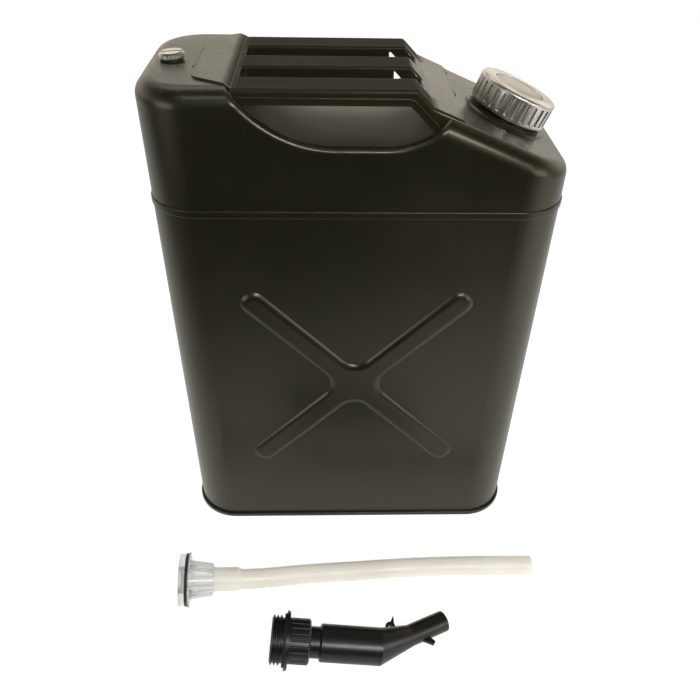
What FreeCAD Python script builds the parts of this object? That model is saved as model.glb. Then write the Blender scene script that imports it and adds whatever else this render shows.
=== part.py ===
import FreeCAD, Part
import math
import os
import Sketcher
from FreeCAD import Placement, Rotation, Vector

# Twenty-litre pressed-steel gas can with a triple-bar handle, a screw cap, a vent screw,
# and its loose kit: a clear filling hose and a bent pouring nozzle.
# Frame: origin at the centre of the can's base, +X towards the filler, +Y to the back, +Z up.

doc = FreeCAD.newDocument("GasCan")
dims = doc.addObject("Spreadsheet::Sheet", "Dims")
sums = doc.addObject("Spreadsheet::Sheet", "Sums")

SIZES = {
    # can body
    "body_width": 350.5,
    "body_depth": 168.0,
    "body_height": 473.0,
    "corner_r": 43.0,
    "sheet": 0.9,
    "seam_z": 372.4,
    "seam_lap": 12.0,
    "seam_bead": 6.5,
    "seam_proud": 1.1,
    "top_edge_r": 14.0,
    "knee_r": 60.0,
    "shoulder_x": 99.0,
    "shoulder_z": 439.2,
    "shoulder_deg": 22.0,
    # hand scoop across the top
    "scoop_z": 431.0,
    "scoop_left": -101.5,
    "scoop_left_deg": 47.0,
    "scoop_left_r": 100.0,
    "scoop_right": 68.0,
    "scoop_right_deg": 44.7,
    "scoop_right_r": 67.0,
    "lip_r": 5.0,
    # rolled base rim and floor panel
    "rim_proud": 2.4,
    "rim_tall": 5.0,
    "rim_edge_r": 1.1,
    "fold": 1.3,
    "floor_z": 6.0,
    # X-shaped stiffening rib, front and back
    "rib_centre_z": 197.0,
    "rib_reach": 143.0,
    "rib_half": 12.0,
    "rib_height": 2.8,
    "rib_root_r": 16.0,
    "rib_end_r": 11.5,
    "rib_crown_r": 8.5,
    # handle stamping
    "grip_top": 471.5,
    "grip_sheet": 1.5,
    "grip_deep": 12.0,
    "grip_half": 73.5,
    "slot_in": 15.0,
    "slot_out": 43.5,
    "slot_left": -94.0,
    "slot_right": 48.0,
    "slot_r": 4.0,
    "notch_x": 28.0,
    "grip_left": -130.0,
    "tab_half": 53.0,
    "tab_corner_r": 14.0,
    "joggle_left": -103.0,
    "joggle_right": -97.5,
    "joggle_r": 4.0,
    "leg_x": 42.0,
    "leg_deg": 44.0,
    "foot_x": 80.0,
    "grip_edge_r": 3.2,
    "leg_bend_r": 5.0,
    "weld_r": 1.8,
    "weld_len": 16.0,
    "weld_y": 58.0,
    # filler neck and cap, heights measured along the tilted axis from the shoulder
    "neck_x": 126.5,
    "boss_r": 38.0,
    "boss_rise": 1.2,
    "neck_bore_r": 25.0,
    "neck_root_r": 29.3,
    "neck_crest_r": 30.8,
    "neck_top": 21.4,
    "neck_flange_r": 33.0,
    "neck_flange_top": 2.6,
    "spigot_r": 27.0,
    "thread_pitch": 5.0,
    "thread_low": 11.2,
    "thread_tall": 7.5,
    "cap_r": 34.2,
    "cap_low": 5.2,
    "cap_top": 26.4,
    "cap_bore_r": 31.2,
    "cap_crest_r": 29.7,
    "cap_skin": 1.6,
    "cap_open_r": 22.3,
    "cap_edge_r": 2.6,
    "cap_flutes": 30,
    "flute_r": 2.6,
    "disc_r": 27.6,
    "disc_rise_r": 21.8,
    "disc_thick": 1.2,
    "gasket_r": 27.4,
    "gasket_in_r": 20.0,
    "gasket_thick": 2.2,
    # vent screw, heights along its own axis from the block top
    "vent_x": -150.7,
    "vent_y": -6.0,
    "vent_deg": 4.0,
    "vent_seat_r": 8.5,
    "vent_seat_top": 0.8,
    "vent_bore_r": 5.05,
    "vent_shank_r": 5.0,
    "vent_gasket_r": 9.5,
    "vent_gasket_thick": 1.4,
    "vent_head_r": 10.4,
    "vent_head_tall": 4.0,
    "vent_knurls": 28,
    # clear hose fitting, lengths along its axis from the outer face
    "fit_disc_r": 25.5,
    "fit_disc_len": 6.0,
    "fit_gasket_r": 25.9,
    "fit_gasket_len": 3.0,
    "fit_lip_r": 27.4,
    "fit_lip_len": 1.5,
    "fit_neck_len": 34.0,
    "fit_neck_r": 16.2,
    "fit_root_r": 19.5,
    "fit_rib_count": 12,
    "fit_barb_len": 24.0,
    "fit_bore_r": 7.0,
    "hose_r": 10.0,
    "hose_bore_r": 8.0,
    "hose_flare_r": 12.0,
    "hose_flare_len": 28.0,
    "hose_end_len": 40.0,
    "hose_x": -177.0,
    "hose_y": -191.3,
    "hose_yaw": 4.0,
    "hose_dip": 5.5,
    "hose_sag": 5.6,
    "hose_mid_x": -56.0,
    "hose_mid_step": 53.0,
    "hose_drift": 13.1,
    "hose_end_x": 189.4,
    "hose_end_y": -164.7,
    # pouring nozzle, lengths along its axis from the plug end
    "plug_core_r": 20.6,
    "plug_ridge_r": 22.6,
    "plug_len": 12.0,
    "plug_ridges": 3,
    "nozzle_seal_r": 24.5,
    "nozzle_seal_len": 2.0,
    "nozzle_flange_r": 27.5,
    "nozzle_flange_len": 3.0,
    "collar_r": 21.0,
    "collar_len": 20.0,
    "collar_ribs": 24,
    "groove_r": 14.5,
    "groove_len": 9.0,
    "tube_r": 17.5,
    "tube_len": 62.0,
    "elbow_deg": 28.0,
    "elbow_len": 30.0,
    "spout_r": 10.25,
    "spout_len": 69.0,
    "lug_r": 4.8,
    "lug_hole_r": 2.1,
    "nozzle_wall": 2.0,
    "nozzle_x": -81.2,
    "nozzle_y": -259.1,
    "nozzle_yaw": -1.5,
    "nozzle_dip": 6.1,
}

for row, (alias, value) in enumerate(SIZES.items(), start=1):
    dims.set("A%d" % row, alias)
    dims.set("B%d" % row, str(value))
    dims.setAlias("B%d" % row, alias)
doc.recompute()


def size(alias):
    """A driving dimension as a plain number."""
    return float(dims.get(alias))


# ---------------------------------------------------------------- helpers

def new_body(name):
    return doc.addObject("PartDesign::Body", name)


def plane_of(body, role):
    for feature in body.Origin.OriginFeatures:
        if feature.Role == role:
            return feature
    raise LookupError(role)


def bind(obj, prop, formula):
    obj.setExpression(prop, formula)


def pin_point(sketch, geo, pos, x_formula, y_formula):
    """Hold one sketch point at formulas measured from the sketch origin."""
    for kind, formula in (("DistanceX", x_formula), ("DistanceY", y_formula)):
        if formula == "0":
            axis = -2 if kind == "DistanceX" else -1
            sketch.addConstraint(Sketcher.Constraint("PointOnObject", geo, pos, axis))
            continue
        point = sketch.getPoint(geo, pos)
        value = point.x if kind == "DistanceX" else point.y
        index = sketch.addConstraint(Sketcher.Constraint(kind, -1, 1, geo, pos, value))
        bind(sketch, "Constraints[%d]" % index, formula)


def number(formula):
    """The value of a formula on the sheet, used to start a sketch near its answer."""
    sums.set("A1", "=" + formula)
    sums.recompute()
    value = sums.get("A1")
    return float(getattr(value, "Value", value))


def outline(body, role, name, loops, lift=None):
    """A sketch of closed straight-sided loops whose corners are formulas."""
    sketch = body.newObject("Sketcher::SketchObject", name)
    sketch.AttachmentSupport = [(plane_of(body, role), "")]
    sketch.MapMode = "FlatFace"
    if lift is not None:
        bind(sketch, "AttachmentOffset.Base.z", lift)
    for corners in loops:
        spots = [Vector(number(x), number(y), 0) for x, y in corners]
        first = sketch.GeometryCount
        count = len(spots)
        for i in range(count):
            sketch.addGeometry(Part.LineSegment(spots[i], spots[(i + 1) % count]), False)
        for i in range(count):
            after = first + (i + 1) % count
            sketch.addConstraint(Sketcher.Constraint("Coincident", first + i, 2, after, 1))
        for i, (x, y) in enumerate(corners):
            pin_point(sketch, first + i, 1, x, y)
    return sketch


def disc(body, role, name, spots, lift=None):
    """A sketch of circles, each given as centre formulas and a radius formula."""
    sketch = body.newObject("Sketcher::SketchObject", name)
    sketch.AttachmentSupport = [(plane_of(body, role), "")]
    sketch.MapMode = "FlatFace"
    if lift is not None:
        bind(sketch, "AttachmentOffset.Base.z", lift)
    for x, y, r in spots:
        centre = Vector(number(x), number(y), 0)
        geo = sketch.addGeometry(Part.Circle(centre, Vector(0, 0, 1), number(r)), False)
        index = sketch.addConstraint(Sketcher.Constraint("Radius", geo, number(r)))
        bind(sketch, "Constraints[%d]" % index, r)
        if x == "0" and y == "0":
            sketch.addConstraint(Sketcher.Constraint("Coincident", geo, 3, -1, 1))
        else:
            pin_point(sketch, geo, 3, x, y)
    return sketch


def box_loop(half_x, half_y):
    corners = [("-", "-"), ("", "-"), ("", ""), ("-", "")]
    return [("%s(%s)" % (sx, half_x), "%s(%s)" % (sy, half_y)) for sx, sy in corners]


def pad(body, sketch, length, both=False, flip=False):
    feature = body.newObject("PartDesign::Pad", "Pad")
    feature.Profile = sketch
    bind(feature, "Length", length)
    feature.Midplane = both
    feature.Reversed = flip
    doc.recompute()
    return feature


def pocket(body, sketch, length, both=False, flip=False):
    feature = body.newObject("PartDesign::Pocket", "Pocket")
    feature.Profile = sketch
    bind(feature, "Length", length)
    feature.Midplane = both
    feature.Reversed = flip
    doc.recompute()
    return feature


def turn(body, sketch, axis="V_Axis"):
    feature = body.newObject("PartDesign::Revolution", "Revolution")
    feature.Profile = sketch
    feature.ReferenceAxis = (sketch, [axis])
    feature.Angle = 360.0
    doc.recompute()
    return feature


def edges_where(feature, test):
    found = []
    for number_, edge in enumerate(feature.Shape.Edges, start=1):
        middle = edge.valueAt((edge.FirstParameter + edge.LastParameter) / 2)
        if test(edge, middle):
            found.append("Edge%d" % number_)
    return found


def round_edges(body, feature, radius, test, kind="Fillet"):
    names = edges_where(feature, test)
    if not names:
        raise LookupError("no edge to round on " + feature.Name)
    result = body.newObject("PartDesign::" + kind, kind)
    result.Base = (feature, names)
    bind(result, "Radius" if kind == "Fillet" else "Size", radius)
    doc.recompute()
    return result


def polar(body, feature, count, axis_role="Z_Axis"):
    result = body.newObject("PartDesign::PolarPattern", "PolarPattern")
    result.Originals = [feature]
    result.Axis = (plane_of(body, axis_role), [""])
    result.Angle = 360.0
    bind(result, "Occurrences", count)
    body.Tip = result
    doc.recompute()
    return result


def helix(body, sketch, pitch, height):
    feature = body.newObject("PartDesign::AdditiveHelix", "Thread")
    feature.Profile = sketch
    feature.ReferenceAxis = (sketch, ["V_Axis"])
    feature.Mode = 0
    bind(feature, "Pitch", pitch)
    bind(feature, "Height", height)
    feature.LeftHanded = False
    feature.Reversed = False
    doc.recompute()
    return feature


def along_z(edge):
    if not isinstance(edge.Curve, Part.Line):
        return False
    return abs(edge.Curve.Direction.z) > 0.999


def join(kind, name, parts):
    result = doc.addObject(kind, name)
    if kind == "Part::Cut":
        result.Base, result.Tool = parts
    else:
        result.Shapes = parts
    doc.recompute()
    return result


finished = {}


def finish(obj, node):
    obj.Label = node
    finished[node] = obj


# ---------------------------------------------------------------- can body

HALF_W = "Dims.body_width / 2"
HALF_D = "Dims.body_depth / 2"


def plan_prism(name, inset, low, tall):
    """The can's rounded-rectangle plan, inset by a formula, as a standing prism."""
    body = new_body(name)
    loop = box_loop("%s - (%s)" % (HALF_W, inset), "%s - (%s)" % (HALF_D, inset))
    block = pad(body, outline(body, "XY_Plane", name + "Plan", [loop], lift=low), tall)
    rounded = round_edges(body, block, "Dims.corner_r - (%s)" % inset, lambda e, m: along_z(e))
    return body, rounded


def scoop_wall(x, inset):
    """Height of the scoop's surface at x, on the shell's skin or inset from it."""
    floor = size("scoop_z") - inset
    heights = [floor]
    for side, edge_x, deg, rad in (
        (-1, size("scoop_left"), size("scoop_left_deg"), size("scoop_left_r") + inset),
        (1, size("scoop_right"), size("scoop_right_deg"), size("scoop_right_r") + inset),
    ):
        slope = math.tan(math.radians(deg))
        top = size("body_height") if side < 0 else crest_height()
        foot = edge_x - side * (top - size("scoop_z")) / slope
        foot += side * inset * math.tan(math.radians(deg / 2))
        tangent = rad * math.tan(math.radians(deg / 2))
        start = foot - side * tangent
        finish_x = foot + side * tangent * math.cos(math.radians(deg))
        if side * (x - finish_x) >= 0:
            heights.append(floor + side * (x - foot) * slope)
        elif side * (x - start) > 0:
            heights.append(floor + rad - math.sqrt(rad ** 2 - (x - start) ** 2))
    return max(heights)


def crest_height():
    drop = math.tan(math.radians(size("shoulder_deg")))
    return size("shoulder_z") - (size("scoop_right") - size("shoulder_x")) * drop


def top_form(name, layer):
    """The pressed top as a solid: block, shoulder and scoop. Layer 0 is the skin, 1 the inside."""
    inset = "%d * Dims.sheet" % layer
    low = "Dims.seam_z - %d * 20" % layer
    tall = "Dims.body_height - Dims.seam_z + %d * (20 - Dims.sheet)" % layer
    body, block = plan_prism(name, inset, low, tall)
    # the shoulder plane slopes down to the filler side
    drop = "tan(Dims.shoulder_deg)"
    skin_drop = "%d * Dims.sheet / cos(Dims.shoulder_deg)" % layer
    line = "(Dims.shoulder_z - %s - ((%s) - Dims.shoulder_x) * %s)"
    high = "Dims.body_height + 50"
    far = "Dims.body_width"
    up_left = "(Dims.shoulder_x - (%s - Dims.shoulder_z + %s) / %s)" % (high, skin_drop, drop)
    wedge = [
        (up_left, high),
        (far, line % (skin_drop, far, drop)),
        (far, high),
    ]
    sloped = pocket(body, outline(body, "XZ_Plane", name + "Shoulder", [wedge]),
                    "Dims.body_depth * 2", both=True)
    knee = round_edges(
        body, sloped, "Dims.knee_r",
        lambda e, m: abs(m.y) < 1 and abs(m.z - (size("body_height") - layer * size("sheet"))) < 0.2
        and abs(m.x) < 60,
    )
    half_d = size("body_depth") / 2 - layer * size("sheet")
    half_w = size("body_width") / 2 - layer * size("sheet")
    corner = size("corner_r") - layer * size("sheet")

    def on_wall(point):
        over_x = max(abs(point.x) - (half_w - corner), 0)
        over_y = max(abs(point.y) - (half_d - corner), 0)
        if over_x == 0:
            return abs(abs(point.y) - half_d) < 0.05
        if over_y == 0:
            return abs(abs(point.x) - half_w) < 0.05
        return abs(math.hypot(over_x, over_y) - corner) < 0.05

    rounded = round_edges(
        body, knee, "Dims.top_edge_r - %s" % inset,
        lambda e, m: on_wall(m) and not along_z(e) and m.z > size("seam_z") + 10,
    )
    # the scoop is cut through from front to back
    cut_low = "(Dims.scoop_z - %s)" % inset
    crest = "(Dims.shoulder_z - (Dims.scoop_right - Dims.shoulder_x) * %s)" % drop
    left = "Dims.scoop_left_deg"
    right = "Dims.scoop_right_deg"
    left_foot = "(Dims.scoop_left + (Dims.body_height - Dims.scoop_z) / tan(%s) - %s * tan(%s / 2))" % (
        left, inset, left)
    right_foot = "(Dims.scoop_right - (%s - Dims.scoop_z) / tan(%s) + %s * tan(%s / 2))" % (
        crest, right, inset, right)
    rise = "(%s - %s)" % (high, cut_low)
    hollow = [
        (left_foot, cut_low),
        (right_foot, cut_low),
        ("%s + %s / tan(%s)" % (right_foot, rise, right), high),
        ("%s - %s / tan(%s)" % (left_foot, rise, left), high),
    ]
    scooped = pocket(body, outline(body, "XZ_Plane", name + "Scoop", [hollow]),
                     "Dims.body_depth * 2", both=True)
    floor_z = number(cut_low)
    eased = round_edges(
        body, scooped, "Dims.scoop_left_r + %s" % inset,
        lambda e, m: abs(m.y) < 1 and abs(m.z - floor_z) < 0.05 and m.x < -10,
    )
    eased = round_edges(
        body, eased, "Dims.scoop_right_r + %s" % inset,
        lambda e, m: abs(m.y) < 1 and abs(m.z - floor_z) < 0.05 and m.x > 10,
    )
    sheet = layer * size("sheet")

    def on_lip(edge, middle):
        if abs(middle.z - scoop_wall(middle.x, sheet)) > 0.08:
            return False
        if abs(middle.y) > 45:
            return True
        return middle.z > floor_z + 15 and (middle.x < -85 or middle.x > 60)

    round_edges(body, eased, "Dims.lip_r - %s" % inset, on_lip)
    return body


neck_z = number("Dims.shoulder_z - (Dims.neck_x - Dims.shoulder_x) * tan(Dims.shoulder_deg)")
neck_spot = Placement(
    Vector(size("neck_x"), 0, neck_z),
    Rotation(Vector(0, 1, 0), size("shoulder_deg")),
)
vent_spot = Placement(
    Vector(size("vent_x"), size("vent_y"), size("body_height")),
    Rotation(Vector(0, 1, 0), -size("vent_deg")),
)


def axis_cylinder(name, radius, low, tall, spot):
    """A cylinder standing on a tilted local axis."""
    body = new_body(name)
    pad(body, disc(body, "XY_Plane", name + "Circle", [("0", "0", radius)], lift=low), tall)
    body.Placement = spot
    return body


skin = top_form("TopSkin", 0)
inside = top_form("TopInside", 1)

boss = new_body("NeckBoss")
turn(boss, outline(boss, "XZ_Plane", "BossProfile", [[
    ("0", "-(Dims.boss_rise * 2)"),
    ("Dims.boss_r + 2 * Dims.boss_rise", "-(Dims.boss_rise * 2)"),
    ("Dims.boss_r - Dims.boss_rise", "Dims.boss_rise"),
    ("0", "Dims.boss_rise"),
]]))
boss.Placement = neck_spot
boss_inside = new_body("NeckBossInside")
turn(boss_inside, outline(boss_inside, "XZ_Plane", "BossInsideProfile", [[
    ("0", "-(Dims.boss_rise * 2)"),
    ("Dims.boss_r + 2 * Dims.boss_rise - 1.4 * Dims.sheet", "-(Dims.boss_rise * 2)"),
    ("Dims.boss_r - Dims.boss_rise - 0.4 * Dims.sheet", "Dims.boss_rise - Dims.sheet"),
    ("0", "Dims.boss_rise - Dims.sheet"),
]]))
boss_inside.Placement = neck_spot

bead, bead_block = plan_prism("SeamBead", "-Dims.seam_proud", "Dims.seam_z", "Dims.seam_bead")
round_edges(bead, bead_block, "0.9 * Dims.seam_proud",
            lambda e, m: not along_z(e))

neck_hole = axis_cylinder("NeckHole", "Dims.spigot_r", "-20", "40", neck_spot)
vent_hole = axis_cylinder("VentHole", "Dims.vent_seat_r - 2", "-20", "40", vent_spot)

top_outer = join("Part::MultiFuse", "TopOuter", [skin, boss, bead])
top_inner = join("Part::MultiFuse", "TopInner", [inside, boss_inside, neck_hole, vent_hole])
upper_shell = join("Part::Cut", "UpperShell", [top_outer, top_inner])
finish(upper_shell, "upper_shell")


def rib_form(name, layer, side):
    """One raised X on the front (-1) or back (+1) face, as a tool solid."""
    body = new_body(name)
    reach = "(Dims.rib_reach - 0.41 * %d * Dims.sheet)" % layer
    half = "(Dims.rib_half - 0.41 * %d * Dims.sheet + 0.5)" % layer
    arm = []
    cosine = math.sqrt(0.5)
    for quarter in range(4):
        # corners of one arm in its own direction, then the root corner before the next arm
        angle = 45 + 90 * quarter
        ux = cosine * (1 if angle in (45, 315) else -1)
        uz = cosine * (1 if angle in (45, 135) else -1)
        for across in (-1, 1):
            arm.append((
                "%.6f * %s - (%.6f) * %s" % (ux, reach, across * uz, half),
                "Dims.rib_centre_z + %.6f * %s + (%.6f) * %s" % (uz, reach, across * ux, half),
            ))
        root = ((0, 1), (-1, 0), (0, -1), (1, 0))[quarter]
        arm.append((
            "0" if root[0] == 0 else "%d * %s / %.6f" % (root[0], half, cosine),
            "Dims.rib_centre_z + %d * %s / %.6f" % (root[1], half, cosine),
        ))
    face = "(%s - %d * Dims.sheet)" % (HALF_D, layer)
    start = "%s - 2" % face
    block = pad(body, outline(body, "XZ_Plane", name + "Outline", [arm], lift=start),
                "2 + Dims.rib_height")
    centre = size("rib_centre_z")

    def across_sheet(edge):
        return isinstance(edge.Curve, Part.Line) and abs(edge.Curve.Direction.y) > 0.999

    block = round_edges(body, block, "Dims.rib_root_r",
                        lambda e, m: across_sheet(e) and math.hypot(m.x, m.z - centre) < 40)
    block = round_edges(body, block, "Dims.rib_end_r",
                        lambda e, m: across_sheet(e) and math.hypot(m.x, m.z - centre) > 120)
    outer_y = min(v.Y for v in block.Shape.Vertexes)
    block = round_edges(body, block, "Dims.rib_height + 0.5",
                        lambda e, m: abs(m.y - outer_y) < 0.01, kind="Chamfer")
    if layer == 0:
        block = round_edges(body, block, "Dims.rib_crown_r",
                            lambda e, m: abs(m.y - outer_y) < 0.01)
    if side > 0:
        body.Placement = Placement(Vector(), Rotation(Vector(0, 0, 1), 180))
    return body


wall = plan_prism("LowerWall", "0", "Dims.fold", "Dims.seam_z - Dims.fold")[0]
spigot = plan_prism("LowerSpigot", "Dims.sheet", "Dims.seam_z", "Dims.seam_lap")[0]
wall_void = plan_prism("LowerVoid", "Dims.sheet", "-5", "Dims.seam_z + 5 - Dims.sheet")[0]
spigot_void = plan_prism("SpigotVoid", "2 * Dims.sheet", "-5", "Dims.seam_z + 30")[0]
ribs = [rib_form("RibFront", 0, -1), rib_form("RibBack", 0, 1)]
rib_voids = [rib_form("RibFrontVoid", 1, -1), rib_form("RibBackVoid", 1, 1)]
lower_outer = join("Part::MultiFuse", "LowerOuter", [wall, spigot] + ribs)
lower_inner = join("Part::MultiFuse", "LowerInner", [wall_void, spigot_void] + rib_voids)
lower_shell = join("Part::Cut", "LowerShell", [lower_outer, lower_inner])
finish(lower_shell, "lower_shell")

rim, rim_block = plan_prism("Rim", "-Dims.rim_proud", "0", "Dims.rim_tall")
round_edges(rim, rim_block, "Dims.rim_edge_r", lambda e, m: not along_z(e))
rim_cut = plan_prism("RimCut", "0", "Dims.fold", "Dims.rim_tall + 5")[0]
tray = plan_prism("Tray", "Dims.sheet", "0", "Dims.floor_z")[0]
tray_void = plan_prism("TrayVoid", "2 * Dims.sheet", "-5", "Dims.floor_z + 5 - Dims.sheet")[0]
rim_ring = join("Part::Cut", "RimRing", [rim, rim_cut])
rim_tray = join("Part::MultiFuse", "RimTray", [rim_ring, tray])
bottom_panel = join("Part::Cut", "BottomPanel", [rim_tray, tray_void])
finish(bottom_panel, "bottom_panel")


# ---------------------------------------------------------------- handle

def grip_form(name, layer):
    """The handle stamping as a solid: layer 0 its outside, layer 1 the space under it."""
    skin_t = "%d * Dims.grip_sheet" % layer
    body = new_body(name)
    top = "(Dims.grip_top - %s)" % skin_t
    low = "(Dims.grip_top - Dims.grip_deep - %d)" % (10 * layer)
    deep = "(%s - %s)" % (top, low)
    leg = "Dims.leg_deg"
    leg_x = "(Dims.leg_x - %s * tan(%s / 2))" % (skin_t, leg)
    under_x = "(%s - %s * tan(%s / 2))" % (leg_x, deep, leg)
    drop = "tan(Dims.shoulder_deg)"
    foot_rise = "(Dims.grip_sheet / cos(Dims.shoulder_deg))"
    foot_line = "(Dims.shoulder_z + %s + Dims.shoulder_x * %s)" % (foot_rise, drop)
    if layer == 0:
        bend_x = "((%s + %s * tan(%s) - %s) / (tan(%s) - %s))" % (
            top, leg_x, leg, foot_line, leg, drop)
        right = [
            (bend_x, "%s - (%s - %s) * tan(%s)" % (top, bend_x, leg_x, leg)),
            ("Dims.foot_x", "%s - Dims.foot_x * %s" % (foot_line, drop)),
            ("Dims.foot_x", "Dims.seam_z + 50"),
            ("%s + (%s - Dims.seam_z - 50) / tan(%s)" % (under_x, low, leg), "Dims.seam_z + 50"),
        ]
        half = "Dims.grip_half"
    else:
        end_x = "(%s + (%s - Dims.scoop_z) / tan(%s))" % (leg_x, top, leg)
        right = [
            (end_x, "Dims.scoop_z"),
            ("%s - 40" % end_x, "Dims.scoop_z"),
        ]
        half = "Dims.grip_half - Dims.grip_sheet"
    left_x = "(Dims.joggle_right + 1.5 * %s)" % skin_t
    side = [(left_x, low), (left_x, top), (leg_x, top)] + right
    if layer == 0:
        side.append((under_x, low))
    block = pad(body, outline(body, "XZ_Plane", name + "Side", [side]), "2 * (%s)" % half,
                both=True)
    top_z = number(top)
    block = round_edges(
        body, block, "Dims.leg_bend_r - %s" % skin_t,
        lambda e, m: abs(m.y) < 1 and abs(m.z - top_z) < 0.01 and m.x > 0,
    )
    if layer == 0:
        block = round_edges(
            body, block, "Dims.grip_edge_r",
            lambda e, m: on_grip_top(m) and m.x < size("foot_x") - 0.1 and not is_across(e)
            and abs(abs(m.y) - size("grip_half")) < 0.05,
        )
    return body, block


def slot_loops(grow, right):
    """The two hand slots between the bars in plan, grown by a formula, ending at right."""
    loops = []
    for low_y, high_y in (("-Dims.slot_out", "-Dims.slot_in"), ("Dims.slot_in", "Dims.slot_out")):
        x0 = "Dims.slot_left - %s" % grow
        y0 = "%s - %s" % (low_y, grow)
        y1 = "%s + %s" % (high_y, grow)
        loops.append([(x0, y0), (right, y0), (right, y1), (x0, y1)])
    return loops


def is_across(edge):
    return isinstance(edge.Curve, Part.Line) and abs(edge.Curve.Direction.y) > 0.999


def on_grip_top(point):
    """Whether a point lies on the stamping's outer face: bars, leg or foot."""
    slope = math.tan(math.radians(size("leg_deg")))
    fall = math.tan(math.radians(size("shoulder_deg")))
    rise = size("grip_sheet") / math.cos(math.radians(size("shoulder_deg")))
    top = size("grip_top")
    if point.x > size("leg_x"):
        leg = top - (point.x - size("leg_x")) * slope
        foot = size("shoulder_z") + rise - (point.x - size("shoulder_x")) * fall
        top = max(leg, foot)
    return abs(point.z - top) < 1.2


def in_slots(point, margin):
    """Whether a point lies within this margin of a hand slot in plan."""
    if not size("slot_left") - margin < point.x < size("slot_right") + margin:
        return False
    return size("slot_in") - margin < abs(point.y) < size("slot_out") + margin


grip_body, grip_block = grip_form("Grip", 0)
grip_slots = slot_loops("0", "Dims.slot_right")
grip_block = pocket(grip_body, outline(grip_body, "XY_Plane", "GripSlots", grip_slots, lift="400"),
                    "100", flip=True)
slot_corner = round_edges(
    grip_body, grip_block, "Dims.slot_r",
    lambda e, m: along_z(e) and in_slots(m, 1),
)
round_edges(
    grip_body, slot_corner, "Dims.grip_edge_r - 0.6",
    lambda e, m: on_grip_top(m) and in_slots(m, 1),
)
void_body = grip_form("GripVoid", 1)[0]
# each slot keeps a turned-down wall all round, relieved by a notch inside the bend to the leg
slot_walls = new_body("SlotWalls")
wall_plan = slot_loops("Dims.grip_sheet", "Dims.slot_right + Dims.grip_sheet")
pad(slot_walls, outline(slot_walls, "XY_Plane", "SlotWallPlan", wall_plan, lift="400"), "100")
notch_low = "(Dims.grip_top - Dims.grip_deep - 20)"
leg_under_x = "(Dims.leg_x - Dims.grip_deep / sin(Dims.leg_deg))"
notch = [
    ("Dims.notch_x", notch_low),
    ("Dims.notch_x", "Dims.grip_top - (Dims.notch_x - %s) * tan(Dims.leg_deg)" % leg_under_x),
    ("%s + (Dims.grip_top - %s) / tan(Dims.leg_deg)" % (leg_under_x, notch_low), notch_low),
]
pocket(slot_walls, outline(slot_walls, "XZ_Plane", "BendNotch", [notch]), "200", both=True)

# the tab lies on the block and steps down to the bars
tab_foot = "(Dims.grip_top - Dims.grip_deep)"
tab_top = "(Dims.body_height + Dims.grip_sheet)"
tab = new_body("GripTab")
tab_block = pad(tab, outline(tab, "XZ_Plane", "TabSide", [[
    ("Dims.grip_left", tab_foot),
    ("Dims.grip_left", tab_top),
    ("Dims.joggle_left", tab_top),
    ("Dims.joggle_right", "Dims.grip_top"),
    ("Dims.joggle_right", tab_foot),
]]), "2 * Dims.grip_half", both=True)
tab_block = round_edges(
    tab, tab_block, "Dims.joggle_r",
    lambda e, m: is_across(e) and m.z > size("body_height") and m.x > size("joggle_left") - 1,
)
tab_corners = []
for sign in ("", "-"):
    tab_corners.append([
        ("Dims.grip_left", "%sDims.tab_half" % sign),
        ("Dims.joggle_right", "%sDims.grip_half" % sign),
        ("Dims.joggle_right", "%s(Dims.grip_half + 10)" % sign),
        ("Dims.grip_left", "%s(Dims.grip_half + 10)" % sign),
    ])
tab_block = pocket(tab, outline(tab, "XY_Plane", "TabTaper", tab_corners, lift="400"), "100",
                   flip=True)
round_edges(
    tab, tab_block, "Dims.tab_corner_r",
    lambda e, m: along_z(e) and m.x < size("grip_left") + 1,
)
grip_outer = join("Part::MultiFuse", "GripOuter", [grip_body, tab])
grip_void = join("Part::Cut", "GripHollow", [void_body, slot_walls])
grip_open = join("Part::Cut", "GripOpen", [grip_outer, grip_void])
handle = join("Part::Cut", "HandleShape", [grip_open, skin])
finish(handle, "handle")


# ---------------------------------------------------------------- welds

def weld_bead(name, half_len, radius):
    """A short round-ended weld run standing on its own Z axis."""
    body = new_body(name)
    turn(body, outline(body, "XZ_Plane", name + "Profile", [[
        ("0", "-(%s)" % half_len),
        ("0.45 * %s" % radius, "-(%s)" % half_len),
        (radius, "-(%s) + 0.9 * %s" % (half_len, radius)),
        (radius, "%s - 0.9 * %s" % (half_len, radius)),
        ("0.45 * %s" % radius, half_len),
        ("0", half_len),
    ]]))
    return body


foot_fall = (size("foot_x") - size("shoulder_x")) * math.tan(math.radians(size("shoulder_deg")))
foot_z = size("shoulder_z") - foot_fall
lying_along_y = Rotation(Vector(1, 0, 0), 90)
tab_run = weld_bead("WeldTab", "0.55 * Dims.tab_half", "Dims.weld_r")
tab_run.Placement = Placement(Vector(size("grip_left"), 0, size("body_height")), lying_along_y)
foot_welds = []
for tag, side in (("Front", -1), ("Mid", 0), ("Back", 1)):
    foot_run = weld_bead("WeldFoot" + tag, "Dims.weld_len / 2", "Dims.weld_r")
    spot = Vector(size("foot_x"), side * size("weld_y"), foot_z)
    foot_run.Placement = Placement(spot, lying_along_y)
    foot_welds.append(foot_run)
doc.recompute()
tab_weld = join("Part::Cut", "TabWeldShape", [tab_run, skin])
tab_weld = join("Part::Cut", "TabWeld", [tab_weld, handle])
finish(tab_weld, "tab_weld")
foot_runs = join("Part::MultiFuse", "FootRuns", foot_welds)
foot_weld = join("Part::Cut", "FootWeldShape", [foot_runs, skin])
foot_weld = join("Part::Cut", "FootWeld", [foot_weld, handle])
finish(foot_weld, "foot_weld")


# ---------------------------------------------------------------- neck and cap

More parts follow.
